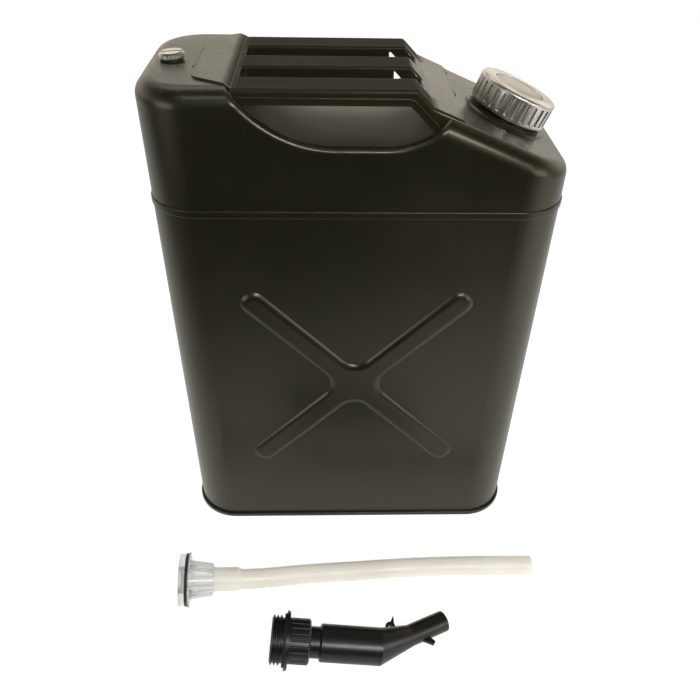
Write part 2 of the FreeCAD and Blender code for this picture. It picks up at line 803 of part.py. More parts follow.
def thread_tooth(body, name, root_r, crest_r, low):
    """A trapezoid tooth profile in the XZ plane, wide at root_r and narrow at crest_r."""
    return outline(body, "XZ_Plane", name, [[
        (root_r, "%s - 1.2" % low),
        (crest_r, "%s - 0.6" % low),
        (crest_r, "%s + 0.6" % low),
        (root_r, "%s + 1.2" % low),
    ]])


neck = new_body("Neck")
turn(neck, outline(neck, "XZ_Plane", "NeckProfile", [[
    ("Dims.neck_bore_r", "-3"),
    ("Dims.spigot_r", "-3"),
    ("Dims.spigot_r", "Dims.boss_rise"),
    ("Dims.neck_flange_r", "Dims.boss_rise"),
    ("Dims.neck_flange_r", "Dims.neck_flange_top"),
    ("Dims.neck_root_r", "Dims.neck_flange_top"),
    ("Dims.neck_root_r", "Dims.neck_top"),
    ("Dims.neck_bore_r", "Dims.neck_top"),
]]))
neck_tooth = thread_tooth(neck, "NeckTooth", "Dims.neck_root_r - 0.3", "Dims.neck_crest_r",
                          "Dims.thread_low")
helix(neck, neck_tooth, "Dims.thread_pitch", "Dims.thread_tall")
neck.Placement = neck_spot
finish(neck, "filler_neck")

ring = new_body("CapRing")
ring_blank = turn(ring, outline(ring, "XZ_Plane", "RingProfile", [[
    ("Dims.cap_bore_r", "Dims.cap_low"),
    ("Dims.cap_r", "Dims.cap_low"),
    ("Dims.cap_r", "Dims.cap_top"),
    ("Dims.cap_open_r", "Dims.cap_top"),
    ("Dims.cap_open_r", "Dims.cap_top - Dims.cap_skin"),
    ("Dims.cap_bore_r", "Dims.cap_top - Dims.cap_skin"),
]]))


def at_radius(edge, r, z):
    curve = edge.Curve
    return (isinstance(curve, Part.Circle) and abs(curve.Radius - r) < 0.01
            and abs(curve.Center.z - z) < 0.01)


ring_round = round_edges(ring, ring_blank, "Dims.cap_edge_r",
                         lambda e, m: at_radius(e, size("cap_r"), size("cap_top")))
ring_round = round_edges(ring, ring_round, "0.6",
                         lambda e, m: at_radius(e, size("cap_r"), size("cap_low"))
                         or at_radius(e, size("cap_open_r"), size("cap_top")))
flute = pocket(
    ring,
    disc(ring, "XY_Plane", "Flute", [("Dims.cap_r + 0.42 * Dims.flute_r", "0", "Dims.flute_r")],
         lift="Dims.cap_low + 2.6"),
    "Dims.cap_top - Dims.cap_low - 6.2", flip=True,
)
polar(ring, flute, "Dims.cap_flutes")
ring_tooth = thread_tooth(ring, "RingTooth", "Dims.cap_bore_r + 0.3", "Dims.cap_crest_r",
                          "(Dims.thread_low - 1.75)")
helix(ring, ring_tooth, "Dims.thread_pitch", "Dims.thread_tall")
ring.Placement = neck_spot
finish(ring, "cap_ring")

under_ring = "(Dims.cap_top - Dims.cap_skin - 0.05)"
disc_low = "(Dims.neck_top + Dims.gasket_thick)"
cap_disc = new_body("CapDisc")
disc_blank = turn(cap_disc, outline(cap_disc, "XZ_Plane", "DiscProfile", [[
    ("0", disc_low + " + Dims.disc_thick"),
    ("Dims.disc_rise_r - Dims.disc_thick", disc_low + " + Dims.disc_thick"),
    ("Dims.disc_rise_r - Dims.disc_thick", disc_low),
    ("Dims.disc_r", disc_low),
    ("Dims.disc_r", under_ring),
    ("Dims.disc_rise_r", under_ring),
    ("Dims.disc_rise_r", "Dims.cap_top - 0.3"),
    ("0", "Dims.cap_top - 0.3"),
]]))
round_edges(cap_disc, disc_blank, "0.7",
            lambda e, m: at_radius(e, size("disc_rise_r"), size("cap_top") - 0.3))
cap_disc.Placement = neck_spot
finish(cap_disc, "cap_disc")

cap_gasket = new_body("CapGasket")
turn(cap_gasket, outline(cap_gasket, "XZ_Plane", "CapGasketProfile", [[
    ("Dims.gasket_in_r", "Dims.neck_top"),
    ("Dims.gasket_r", "Dims.neck_top"),
    ("Dims.gasket_r", disc_low),
    ("Dims.gasket_in_r", disc_low),
]]))
cap_gasket.Placement = neck_spot
finish(cap_gasket, "cap_gasket")

# ---------------------------------------------------------------- vent screw

vent_collar = new_body("VentCollar")
turn(vent_collar, outline(vent_collar, "XZ_Plane", "VentCollarProfile", [[
    ("Dims.vent_bore_r", "-4"),
    ("Dims.vent_seat_r", "-4"),
    ("Dims.vent_seat_r", "Dims.vent_seat_top"),
    ("Dims.vent_bore_r", "Dims.vent_seat_top"),
]]))
vent_collar.Placement = vent_spot
vent_spigot = new_body("VentSpigot")
turn(vent_spigot, outline(vent_spigot, "XZ_Plane", "VentSpigotProfile", [[
    ("Dims.vent_bore_r", "-8"),
    ("Dims.vent_seat_r - 2", "-8"),
    ("Dims.vent_seat_r - 2", "Dims.vent_seat_top"),
    ("Dims.vent_bore_r", "Dims.vent_seat_top"),
]]))
vent_spigot.Placement = vent_spot
doc.recompute()
collar_top = join("Part::Cut", "VentCollarTop", [vent_collar, skin])
vent_seat = join("Part::MultiFuse", "VentSeat", [collar_top, vent_spigot])
finish(vent_seat, "vent_seat")

vent_gasket = new_body("VentGasket")
turn(vent_gasket, outline(vent_gasket, "XZ_Plane", "VentGasketProfile", [[
    ("Dims.vent_bore_r + 0.3", "Dims.vent_seat_top"),
    ("Dims.vent_gasket_r", "Dims.vent_seat_top"),
    ("Dims.vent_gasket_r", "Dims.vent_seat_top + Dims.vent_gasket_thick"),
    ("Dims.vent_bore_r + 0.3", "Dims.vent_seat_top + Dims.vent_gasket_thick"),
]]))
vent_gasket.Placement = vent_spot
finish(vent_gasket, "vent_gasket")

head_low = "(Dims.vent_seat_top + Dims.vent_gasket_thick)"
head_top = "(%s + Dims.vent_head_tall)" % head_low
vent_screw = new_body("VentScrew")
turn(vent_screw, outline(vent_screw, "XZ_Plane", "VentScrewProfile", [[
    ("0", "-7"),
    ("Dims.vent_shank_r - 1", "-7"),
    ("Dims.vent_shank_r", "-6"),
    ("Dims.vent_shank_r", head_low),
    ("Dims.vent_head_r", head_low),
    ("Dims.vent_head_r", head_top + " - 1.4"),
    ("Dims.vent_head_r - 1.4", head_top),
    ("0", head_top),
]]))
knurl = pocket(
    vent_screw,
    disc(vent_screw, "XY_Plane", "Knurl", [("Dims.vent_head_r + 0.45", "0", "1.0")], lift=head_low),
    "Dims.vent_head_tall - 1.4", flip=True,
)
polar(vent_screw, knurl, "Dims.vent_knurls")
coin = [[
    ("-(Dims.vent_head_r + 2)", "-1.2"),
    ("Dims.vent_head_r + 2", "-1.2"),
    ("Dims.vent_head_r + 2", "1.2"),
    ("-(Dims.vent_head_r + 2)", "1.2"),
]]
pocket(vent_screw, outline(vent_screw, "XY_Plane", "CoinSlot", coin, lift=head_top + " - 1.1"),
       "5", flip=True)
vent_screw.Placement = vent_spot
finish(vent_screw, "vent_screw")


# ---------------------------------------------------------------- hose

def lying(point, yaw, dip):
    """A frame lying on the floor: local Z along the piece, local Y level and to its left."""
    level = Vector(math.cos(math.radians(yaw)), math.sin(math.radians(yaw)), 0)
    side = Vector(-level.y, level.x, 0)
    run = level * math.cos(math.radians(dip)) - Vector(0, 0, 1) * math.sin(math.radians(dip))
    return Placement(point, Rotation(side.cross(run), side, run, "ZYX"))


def resting_height(radius, reach, dip):
    """Height of the axis start when a rim of this radius, this far along, touches the floor."""
    angle = math.radians(dip)
    return radius * math.cos(angle) + reach * math.sin(angle)


lip_end = size("fit_disc_len") + size("fit_gasket_len") + size("fit_lip_len")
hose_z = resting_height(size("fit_lip_r"), lip_end, size("hose_dip"))
hose_spot = lying(
    Vector(size("hose_x"), size("hose_y"), hose_z), size("hose_yaw"), size("hose_dip"),
)
gasket_from = "Dims.fit_disc_len"
lip_from = "(Dims.fit_disc_len + Dims.fit_gasket_len)"
neck_from = "(%s + Dims.fit_lip_len)" % lip_from
fitting = new_body("HoseFitting")
turn(fitting, outline(fitting, "XZ_Plane", "FittingProfile", [[
    ("Dims.fit_bore_r + 4", "0"),
    ("Dims.fit_disc_r", "0"),
    ("Dims.fit_disc_r", gasket_from),
    ("Dims.fit_disc_r - 4", gasket_from),
    ("Dims.fit_disc_r - 4", lip_from),
    ("Dims.fit_lip_r", lip_from),
    ("Dims.fit_lip_r - 0.4", neck_from),
    ("Dims.fit_root_r - 3", neck_from),
    ("Dims.fit_neck_r - 3", "Dims.fit_neck_len"),
    ("Dims.hose_r", "Dims.fit_neck_len"),
    ("Dims.hose_r - 0.6", "Dims.fit_neck_len + Dims.fit_barb_len"),
    ("Dims.fit_bore_r", "Dims.fit_neck_len + Dims.fit_barb_len"),
    ("Dims.fit_bore_r", neck_from),
]]))
rib_plate = [[
    ("Dims.fit_bore_r + 3", "%s - 0.2" % neck_from),
    ("Dims.fit_root_r", "%s - 0.2" % neck_from),
    ("Dims.fit_neck_r", "Dims.fit_neck_len - 1"),
    ("Dims.fit_bore_r + 3", "Dims.fit_neck_len - 1"),
]]
rib_pad = pad(fitting, outline(fitting, "XZ_Plane", "FittingRib", rib_plate), "2.2", both=True)
polar(fitting, rib_pad, "Dims.fit_rib_count")
fitting.Placement = hose_spot
finish(fitting, "hose_fitting")

hose_gasket = new_body("HoseGasket")
turn(hose_gasket, outline(hose_gasket, "XZ_Plane", "HoseGasketProfile", [[
    ("Dims.fit_disc_r - 4", gasket_from),
    ("Dims.fit_gasket_r", gasket_from),
    ("Dims.fit_gasket_r + 0.5", "Dims.fit_disc_len + Dims.fit_gasket_len / 2"),
    ("Dims.fit_gasket_r", lip_from),
    ("Dims.fit_disc_r - 4", lip_from),
]]))
hose_gasket.Placement = hose_spot
finish(hose_gasket, "hose_gasket")

# the hose is one tube swept along a sagging line from the barb to its straight free end
hose_start = hose_spot.multVec(Vector(0, 0, size("fit_neck_len") + size("hose_flare_len")))
hose_run = hose_spot.Rotation.multVec(Vector(0, 0, 1))
end_x = size("hose_end_x")
end_y = size("hose_end_y")
rest_z = size("hose_r") + 0.05
straight_x = end_x - size("hose_end_len")
sag = size("hose_sag")
middle = []
for step, share in enumerate((1.0, 0.26, 0.04, 0.0)):
    # the hose comes down to the floor and drifts towards the line of its free end
    x = size("hose_mid_x") + step * size("hose_mid_step")
    y = end_y - size("hose_drift") * (1 - step / 3.4) ** 2
    middle.append(Vector(x, y, rest_z + share * sag))
line = Part.BSplineCurve()
straight_start = Vector(straight_x, end_y, rest_z)
line.interpolate(
    Points=[hose_start] + middle + [straight_start],
    InitialTangent=hose_run * 60,
    FinalTangent=Vector(60, 0, 0),
)
sweep_line = Part.Wire([line.toShape()])


def hose_form(radius, flare):
    """The hose as a solid of one radius, widened where it is pushed over the barb."""
    ring_wire = Part.Wire([Part.makeCircle(radius, hose_start, hose_run)])
    swept = sweep_line.makePipeShell([ring_wire], True, False)
    straight = Part.makeCylinder(radius, size("hose_end_len"), straight_start, Vector(1, 0, 0))
    mouth = hose_spot.multVec(Vector(0, 0, size("fit_neck_len")))
    snug = Part.makeCylinder(flare, size("fit_barb_len"), mouth, hose_run)
    taper_at = hose_spot.multVec(Vector(0, 0, size("fit_neck_len") + size("fit_barb_len")))
    taper_len = size("hose_flare_len") - size("fit_barb_len")
    taper = Part.makeCone(flare, radius, taper_len, taper_at, hose_run)
    return snug.fuse([taper, swept, straight])


hose_outer = hose_form(size("hose_r"), size("hose_flare_r"))
hose_inner = hose_form(size("hose_bore_r"), size("hose_r"))
hose = doc.addObject("Part::Feature", "Hose")
hose.Shape = hose_outer.cut(hose_inner)
finish(hose, "hose_tube")


# ---------------------------------------------------------------- nozzle

flange_end = size("plug_len") + size("nozzle_seal_len") + size("nozzle_flange_len")
nozzle_spot = lying(
    Vector(size("nozzle_x"), size("nozzle_y"),
           resting_height(size("nozzle_flange_r"), flange_end, size("nozzle_dip"))),
    size("nozzle_yaw"), size("nozzle_dip"),
)
seal_from = "Dims.plug_len"
flange_from = "(Dims.plug_len + Dims.nozzle_seal_len)"
collar_from = "(%s + Dims.nozzle_flange_len)" % flange_from
groove_from = "(%s + Dims.collar_len)" % collar_from
tube_from = "(%s + Dims.groove_len)" % groove_from
bend_from = "(%s + Dims.tube_len)" % tube_from

plug = new_body("NozzlePlug")
plug_corners = [("Dims.groove_r", "0"), ("Dims.plug_core_r", "0")]
for ridge in range(int(size("plug_ridges"))):
    middle_z = "(%d + 0.5) * Dims.plug_len / (Dims.plug_ridges + 0.5)" % ridge
    plug_corners += [
        ("Dims.plug_core_r", "%s - 1.2" % middle_z),
        ("Dims.plug_ridge_r", "%s - 0.5" % middle_z),
        ("Dims.plug_ridge_r", "%s + 0.5" % middle_z),
        ("Dims.plug_core_r", "%s + 1.2" % middle_z),
    ]
plug_corners += [
    ("Dims.plug_core_r", flange_from),
    ("Dims.nozzle_flange_r", flange_from),
    ("Dims.nozzle_flange_r - 0.8", collar_from),
    ("Dims.groove_r", collar_from),
]
turn(plug, outline(plug, "XZ_Plane", "PlugProfile", [plug_corners]))
plug.Placement = nozzle_spot
finish(plug, "nozzle_plug")

seal = new_body("NozzleSeal")
turn(seal, outline(seal, "XZ_Plane", "SealProfile", [[
    ("Dims.plug_core_r", seal_from),
    ("Dims.nozzle_seal_r", seal_from),
    ("Dims.nozzle_seal_r", flange_from),
    ("Dims.plug_core_r", flange_from),
]]))
seal.Placement = nozzle_spot
finish(seal, "nozzle_seal")

collar = new_body("NozzleCollar")
turn(collar, outline(collar, "XZ_Plane", "CollarProfile", [[
    ("Dims.groove_r", collar_from),
    ("Dims.collar_r", collar_from),
    ("Dims.collar_r", "%s - 1.5" % groove_from),
    ("Dims.collar_r - 1.5", groove_from),
    ("Dims.groove_r", groove_from),
]]))
grip_cut = pocket(
    collar,
    disc(collar, "XY_Plane", "CollarGroove", [("Dims.collar_r + 0.7", "0", "1.3")],
         lift="%s + 1.5" % collar_from),
    "Dims.collar_len", flip=True,
)
polar(collar, grip_cut, "Dims.collar_ribs")
collar.Placement = nozzle_spot
finish(collar, "nozzle_collar")


def spout_circle(body, name, radius, reach):
    """A circle square to the bent spout, this far past the bend."""
    sketch = disc(body, "XY_Plane", name, [("0", "0", radius)])
    sketch.AttachmentOffset = Placement(Vector(), Rotation(Vector(1, 0, 0), -size("elbow_deg")))
    bind(sketch, "AttachmentOffset.Base.y", "(%s) * sin(Dims.elbow_deg)" % reach)
    bind(sketch, "AttachmentOffset.Base.z", "%s + (%s) * cos(Dims.elbow_deg)" % (bend_from, reach))
    return sketch


def nozzle_form(name, thin, neck_start, extra):
    """The bent nozzle tube as a solid, thinner by a formula, running extra past each end."""
    body = new_body(name)
    turn(body, outline(body, "XZ_Plane", name + "Profile", [[
        ("0", "%s - %s" % (neck_start, extra)),
        ("Dims.groove_r - %s" % thin, "%s - %s" % (neck_start, extra)),
        ("Dims.groove_r - %s" % thin, "%s + %s" % (tube_from, thin)),
        ("Dims.tube_r - %s" % thin, "%s + 1.5 + %s" % (tube_from, thin)),
        ("Dims.tube_r - %s" % thin, "%s - 3" % bend_from),
        ("0", "%s - 3" % bend_from),
    ]]))
    wide = disc(body, "XY_Plane", name + "Wide", [("0", "0", "Dims.tube_r - %s" % thin)],
                lift="%s - 3" % bend_from)
    narrow = spout_circle(body, name + "Narrow", "Dims.spout_r - %s" % thin, "Dims.elbow_len")
    loft = body.newObject("PartDesign::AdditiveLoft", "Elbow")
    loft.Profile = wide
    loft.Sections = [narrow]
    loft.Ruled = True
    doc.recompute()
    start = spout_circle(body, name + "Spout", "Dims.spout_r - %s" % thin, "Dims.elbow_len")
    pad(body, start, "Dims.spout_len - Dims.elbow_len + %s" % extra)
    return body


nozzle_solid = nozzle_form("Nozzle", "0", "6", "0")
lug_y = "(Dims.tube_r + 4)"
lug_z = "(%s + 7)" % bend_from
pad(nozzle_solid, disc(nozzle_solid, "YZ_Plane", "Lug", [(lug_y, lug_z, "Dims.lug_r")]), "4", both=True)
spike = [
    ("%s + 2" % lug_y, "%s - 1" % lug_z),
    ("%s + 13" % lug_y, "%s + 3.5" % lug_z),
    ("%s + 1" % lug_y, "%s + 4" % lug_z),
]
pad(nozzle_solid, outline(nozzle_solid, "YZ_Plane", "Spike", [spike]), "2.4", both=True)
pocket(nozzle_solid, disc(nozzle_solid, "YZ_Plane", "LugHole", [(lug_y, lug_z, "Dims.lug_hole_r")]), "10",
       both=True)
hook = [
    ("12", "%s + 26" % bend_from),
    ("22", "%s + 42" % bend_from),
    ("13", "%s + 46" % bend_from),
    ("9", "%s + 51" % bend_from),
    ("5.5", "%s + 49" % bend_from),
    ("8", "%s + 42" % bend_from),
]
pad(nozzle_solid, outline(nozzle_solid, "YZ_Plane", "Hook", [hook]), "3", both=True)
nozzle_solid.Placement = nozzle_spot
nozzle_bore = nozzle_form("NozzleBore", "Dims.nozzle_wall", "6", "10")
nozzle_bore.Placement = nozzle_spot
doc.recompute()
nozzle = join("Part::Cut", "NozzleBody", [nozzle_solid, nozzle_bore])
finish(nozzle, "nozzle_body")


# ---------------------------------------------------------------- check and write

doc.recompute()
for obj in doc.Objects:
    for flag in ("Invalid", "Error"):
        if flag in obj.State:
            raise RuntimeError("%s is %s" % (obj.Name, flag))

os.makedirs("parts", exist_ok=True)
for node, obj in finished.items():
    shape = obj.Shape
    if shape.isNull() or not shape.isValid():
        raise RuntimeError(node + " has no valid shape")
    print(node, len(shape.Solids), "solid", round(shape.Volume / 1000, 2), "cm3")
    shape.exportStep("parts/%s.step" % node)
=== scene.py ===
import math

import bpy
from mathutils import Matrix, Vector


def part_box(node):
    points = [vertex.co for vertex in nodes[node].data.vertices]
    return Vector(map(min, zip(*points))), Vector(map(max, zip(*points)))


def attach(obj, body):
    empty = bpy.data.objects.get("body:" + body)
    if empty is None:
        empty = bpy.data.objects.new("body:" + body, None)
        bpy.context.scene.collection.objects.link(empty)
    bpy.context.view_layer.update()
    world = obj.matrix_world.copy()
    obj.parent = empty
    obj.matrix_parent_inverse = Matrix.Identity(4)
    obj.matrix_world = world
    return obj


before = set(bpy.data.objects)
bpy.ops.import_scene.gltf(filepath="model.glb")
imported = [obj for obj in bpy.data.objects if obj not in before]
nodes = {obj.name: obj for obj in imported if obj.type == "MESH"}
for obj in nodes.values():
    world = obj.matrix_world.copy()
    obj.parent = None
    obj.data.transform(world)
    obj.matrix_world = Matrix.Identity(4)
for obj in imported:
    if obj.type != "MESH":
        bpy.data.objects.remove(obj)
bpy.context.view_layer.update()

handle_low, handle_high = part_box("handle")

# ---------------------------------------------------------------- node materials


class Nodes:
    """A shader's node tree as it is built: each method adds nodes and returns an output socket."""

    def __init__(self, tree):
        self.tree = tree

    def feed(self, socket, value):
        if isinstance(value, bpy.types.NodeSocket):
            self.tree.links.new(value, socket)
        else:
            socket.default_value = value

    def add(self, kind, inputs, output=0, **settings):
        node = self.tree.nodes.new("ShaderNode" + kind)
        for key, value in settings.items():
            setattr(node, key, value)
        for key, value in inputs.items():
            self.feed(node.inputs[key], value)
        return node.outputs[output]

    def place(self):
        """The point on the object, in metres."""
        return self.add("TexCoord", {}, "Object")

    def stretched(self, sx, sy, sz):
        return self.add("Mapping", {"Vector": self.place(), "Scale": (sx, sy, sz)})

    def split(self, vector):
        """The x, y and z of a vector."""
        node = self.tree.nodes.new("ShaderNodeSeparateXYZ")
        self.feed(node.inputs[0], vector)
        return node.outputs["X"], node.outputs["Y"], node.outputs["Z"]

    def noise(self, scale, detail=3.0, rough=0.5, where=None):
        inputs = {
            "Vector": where or self.place(),
            "Scale": scale,
            "Detail": detail,
            "Roughness": rough,
        }
        return self.add("TexNoise", inputs, "Fac")

    def maths(self, operation, a, b=0.0):
        return self.add("Math", {0: a, 1: b}, operation=operation)

    def times(self, a, b):
        return self.maths("MULTIPLY", a, b)

    def plus(self, a, b):
        return self.maths("ADD", a, b)

    def minus(self, a, b):
        return self.maths("SUBTRACT", a, b)

    def larger(self, a, b):
        return self.maths("MAXIMUM", a, b)

    def size_of(self, a):
        return self.maths("ABSOLUTE", a)

    def between(self, value, low, high, out_low=0.0, out_high=1.0):
        """Value carried smoothly from the range low..high to out_low..out_high."""
        inputs = {
            "Value": value,
            "From Min": low,
            "From Max": high,
            "To Min": out_low,
            "To Max": out_high,
        }
        return self.add("MapRange", inputs, interpolation_type="SMOOTHSTEP")

    def blend(self, share, a, b):
        """Colour a turning into colour b."""
        inputs = {0: share, 6: a, 7: b}
        return self.add("Mix", inputs, 2, data_type="RGBA")

    def seen_or_lit(self, lit, seen):
        """One number for the camera's own rays, seen, and another for all other rays, lit."""
        return self.add("Mix", {0: self.camera_ray(), 2: lit, 3: seen}, 0)

    def camera_ray(self):
        return self.add("LightPath", {}, "Is Camera Ray")

    def edges(self, radius, low=0.02, high=0.25):
        """1 on edges sharper than the radius, 0 on flats."""
        soft = self.add("Bevel", {"Radius": radius}, samples=4)
        hard = self.add("NewGeometry", {}, "Normal")
        alike = self.add("VectorMath", {0: soft, 1: hard}, "Value", operation="DOT_PRODUCT")
        return self.between(self.minus(1.0, alike), low, high)

    def upward(self):
        """The upward part of the surface's direction, 1 on level tops."""
        return self.split(self.add("NewGeometry", {}, "Normal"))[2]

    def bump(self, height, distance, strength=1.0, below=None):
        inputs = {"Height": height, "Distance": distance, "Strength": strength}
        if below is not None:
            inputs["Normal"] = below
        return self.add("Bump", inputs)


class Surface(Nodes):
    def __init__(self, name):
        self.material = bpy.data.materials.new(name)
        self.material.use_nodes = True
        super().__init__(self.material.node_tree)
        self.shader = self.tree.nodes["Principled BSDF"]

    def finish(self, **sockets):
        """Feed the shader's sockets, named with _ for each space, and return the material."""
        for key, value in sockets.items():
            self.feed(self.shader.inputs[key.replace("_", " ")], value)
        return self.material


def rgb(r, g, b):
    return (r, g, b, 1.0)


def enamel(name, deep, warm, dust, gloss, flat=None):
    """Sprayed enamel on pressed steel: orange peel, slow sheet ripples, paler sharp edges that are partly
    light wear and partly a painted edge highlight, and settled dust.

    flat is called with the nodes and gives the share of dulled, hand-worn finish at each point.
    """
    s = Surface(name)
    clouds = s.noise(9.0, 4.0, 0.55)
    grain = s.noise(260.0, 2.0, 0.5)
    tone = s.blend(s.between(clouds, 0.35, 0.7), rgb(*deep), rgb(*warm))
    # paler on sharp edges: partly light wear, partly a painted edge highlight
    pale_edge_share = s.times(s.edges(0.0012), s.between(s.noise(70.0), 0.35, 0.62))
    edges_worn_and_highlit = s.blend(s.times(pale_edge_share, 0.4), tone, rgb(0.10, 0.097, 0.075))
    settled = s.times(s.between(s.upward(), 0.55, 1.0), s.between(grain, 0.4, 0.75))
    colour = s.blend(s.times(settled, dust), edges_worn_and_highlit, rgb(0.16, 0.15, 0.125))
    dull = flat(s) if flat else 0.0
    rough = s.between(clouds, 0.3, 0.7, gloss, gloss + 0.07)
    rough = s.plus(rough, s.times(settled, 0.08))
    rough = s.plus(rough, s.times(dull, 0.30))
    ripples = s.bump(s.noise(14.0, 1.0, 0.4), 0.0011, 0.5)
    peel = s.bump(s.noise(420.0, 2.0, 0.5), 0.00005, 0.22, ripples)
    return s.finish(
        Base_Color=colour,
        Roughness=rough,
        Specular_IOR_Level=s.minus(0.5, s.times(dull, 0.45)),
        Specular_Tint=rgb(1.0, 0.97, 0.74),
        Coat_Weight=s.times(s.minus(1.0, dull), 0.03),
        Coat_Roughness=0.12,
        Normal=peel,
    )


def handled(s):
    """Where hands have dulled the handle: on the bars and the outer strips of the leg, not on edges."""
    x, y, _ = s.split(s.place())
    tab_x, foot_x = handle_low[0], handle_high[0]
    bars = s.between(x, foot_x - 0.034, foot_x - 0.040)
    leg_top = s.between(x, foot_x - 0.018, foot_x - 0.028)
    outer_strips = s.between(s.size_of(y), 0.044, 0.050)
    share = s.larger(bars, s.times(outer_strips, leg_top))
    share = s.times(share, s.between(x, tab_x + 0.024, tab_x + 0.032))
    return s.times(share, s.minus(1.0, s.edges(0.0035, 0.01, 0.12)))


def plating(name, bright, tint, gloss, brushed):
    """Zinc plating on pressed steel: a faint two-tone passivation, fine scratches and paler edges."""
    s = Surface(name)
    patches = s.noise(34.0, 4.0, 0.6)
    colour = s.blend(s.between(patches, 0.35, 0.68), rgb(*bright), rgb(*tint))
    colour = s.blend(s.times(s.edges(0.0006), 0.35), colour, rgb(0.93, 0.92, 0.9))
    fine = s.noise(brushed, 3.0, 0.65, s.stretched(1.0, 1.0, 6.0))
    rough = s.plus(s.between(patches, 0.3, 0.7, gloss, gloss + 0.12), s.times(fine, 0.08))
    return s.finish(
        Base_Color=colour,
        Metallic=1.0,
        Roughness=rough,
        Normal=s.bump(fine, 0.00004, 0.5),
    )


def moulded(name, deep, pale, gloss):
    """Moulded plastic or rubber: slight streaks of flow, a fine skin texture and paler rubbed edges."""
    s = Surface(name)
    flow = s.noise(26.0, 3.0, 0.6, s.stretched(0.35, 1.0, 1.0))
    skin = s.noise(900.0, 2.0, 0.5)
    tone = s.blend(s.between(flow, 0.35, 0.7), rgb(*deep), rgb(*pale))
    pale_edge_share = s.times(s.edges(0.0005), s.between(s.noise(160.0), 0.3, 0.6))
    colour = s.blend(s.times(pale_edge_share, 0.35), tone, rgb(0.12, 0.118, 0.112))
    rough = s.plus(s.between(flow, 0.3, 0.7, gloss, gloss + 0.1), s.times(pale_edge_share, 0.15))
    return s.finish(
        Base_Color=colour,
        Roughness=rough,
        Normal=s.bump(skin, 0.00003, 0.5),
    )


def clear_moulding(name):
    """Clear moulded plastic, slightly grey, with painted shade on its corners where they turn the light away,
    and a faint painted glow.
    """
    s = Surface(name)
    haze = s.noise(60.0, 3.0, 0.6)
    colour = s.blend(s.between(haze, 0.3, 0.7), rgb(0.90, 0.905, 0.895), rgb(0.80, 0.81, 0.80))
    # painted shade: the corners are darkened in colour
    corners = s.edges(0.0012, 0.01, 0.15)
    colour = s.blend(s.times(corners, 0.85), colour, rgb(0.28, 0.29, 0.28))
    rough = s.plus(s.between(haze, 0.3, 0.7, 0.10, 0.2), s.times(corners, 0.2))
    return s.finish(
        Base_Color=colour,
        Roughness=rough,
        Transmission_Weight=0.88,
        IOR=1.40,
        # painted light: the plastic glows faintly though it is no lamp
        Emission_Color=colour,
        Emission_Strength=0.07,
        Normal=s.bump(s.noise(500.0, 2.0), 0.00003, 0.4),
    )


def milky_tube(name):
    """Soft translucent hose: a milky wall with faint drawing lines, paler on its cut edges, and a faint
    painted glow.
    """
    s = Surface(name)
    lines = s.noise(120.0, 2.0, 0.5, s.stretched(0.06, 1.0, 1.0))
    cloud = s.noise(22.0, 3.0, 0.5)
    colour = s.blend(s.between(cloud, 0.3, 0.7), rgb(0.88, 0.855, 0.79), rgb(0.82, 0.795, 0.735))
    colour = s.blend(s.times(s.edges(0.0006), 0.4), colour, rgb(0.93, 0.92, 0.88))
    return s.finish(
        Base_Color=colour,
        Roughness=s.between(lines, 0.3, 0.7, 0.28, 0.42),
        Transmission_Weight=0.25,
        IOR=1.42,
        # painted light: the hose glows though it is no lamp, to lift it where the lamps leave it dim
        Emission_Color=colour,
        Emission_Strength=0.12,
        Subsurface_Weight=0.3,
        Subsurface_Radius=(0.008, 0.007, 0.005),
        Subsurface_Scale=1.0,
        Normal=s.bump(lines, 0.00008, 0.5),
    )


# painted shade: the same olive enamel as the handle, given a darker colour here so that the lamps leave the
# front faces dark
body_paint = enamel(
    "body_paint",
    deep=(0.0078, 0.0073, 0.0036),
    warm=(0.0100, 0.0094, 0.0048),
    dust=0.14,
    gloss=0.275,
)
# painted light: a lighter copy of the body's olive enamel, so that the dulled bars reach their brightness by
# diffuse light
handle_paint = enamel(
    "handle_paint",
    deep=(0.0140, 0.0131, 0.0064),
    warm=(0.0175, 0.0164, 0.0084),
    dust=0.06,
    gloss=0.27,
    flat=handled,
)
weld_paint = enamel(
    "weld_paint",
    deep=(0.028, 0.0265, 0.0160),
    warm=(0.040, 0.0375, 0.0240),
    dust=0.08,
    gloss=0.36,
)
zinc = plating(
    "plated_zinc",
    bright=(0.60, 0.578, 0.550),
    tint=(0.46, 0.443, 0.420),
    gloss=0.20,
    brushed=240.0,
)
disc_zinc = plating(
    "plated_disc",
    bright=(0.51, 0.478, 0.455),
    tint=(0.425, 0.398, 0.380),
    gloss=0.36,
    brushed=420.0,
)
rubber = moulded(
    "black_rubber",
    deep=(0.006, 0.006, 0.006),
    pale=(0.012, 0.012, 0.0115),
    gloss=0.55,
)
black = moulded(
    "black_plastic",
    deep=(0.0052, 0.0042, 0.0033),
    pale=(0.0080, 0.0063, 0.0050),
    gloss=0.28,
)
clear = clear_moulding("clear_plastic")
milky = milky_tube("milky_hose")

WEARS = {
    "lower_shell": body_paint,
    "upper_shell": body_paint,
    "bottom_panel": body_paint,
    "filler_neck": body_paint,
    "vent_seat": body_paint,
    "handle": handle_paint,
    "tab_weld": weld_paint,
    "foot_weld": weld_paint,
    "cap_ring": zinc,
    "vent_screw": zinc,
    "cap_disc": disc_zinc,
    "cap_gasket": rubber,
    "vent_gasket": rubber,
    "hose_gasket": rubber,
    "nozzle_seal": rubber,
    "hose_fitting": clear,
    "hose_tube": milky,
    "nozzle_plug": black,
    "nozzle_collar": black,
    "nozzle_body": black,
}
for name, material in WEARS.items():
    mesh = nodes[name].data
    mesh.materials.clear()
    mesh.materials.append(material)
    for face in mesh.polygons:
        face.use_smooth = True

# ---------------------------------------------------------------- pieces added to the frame


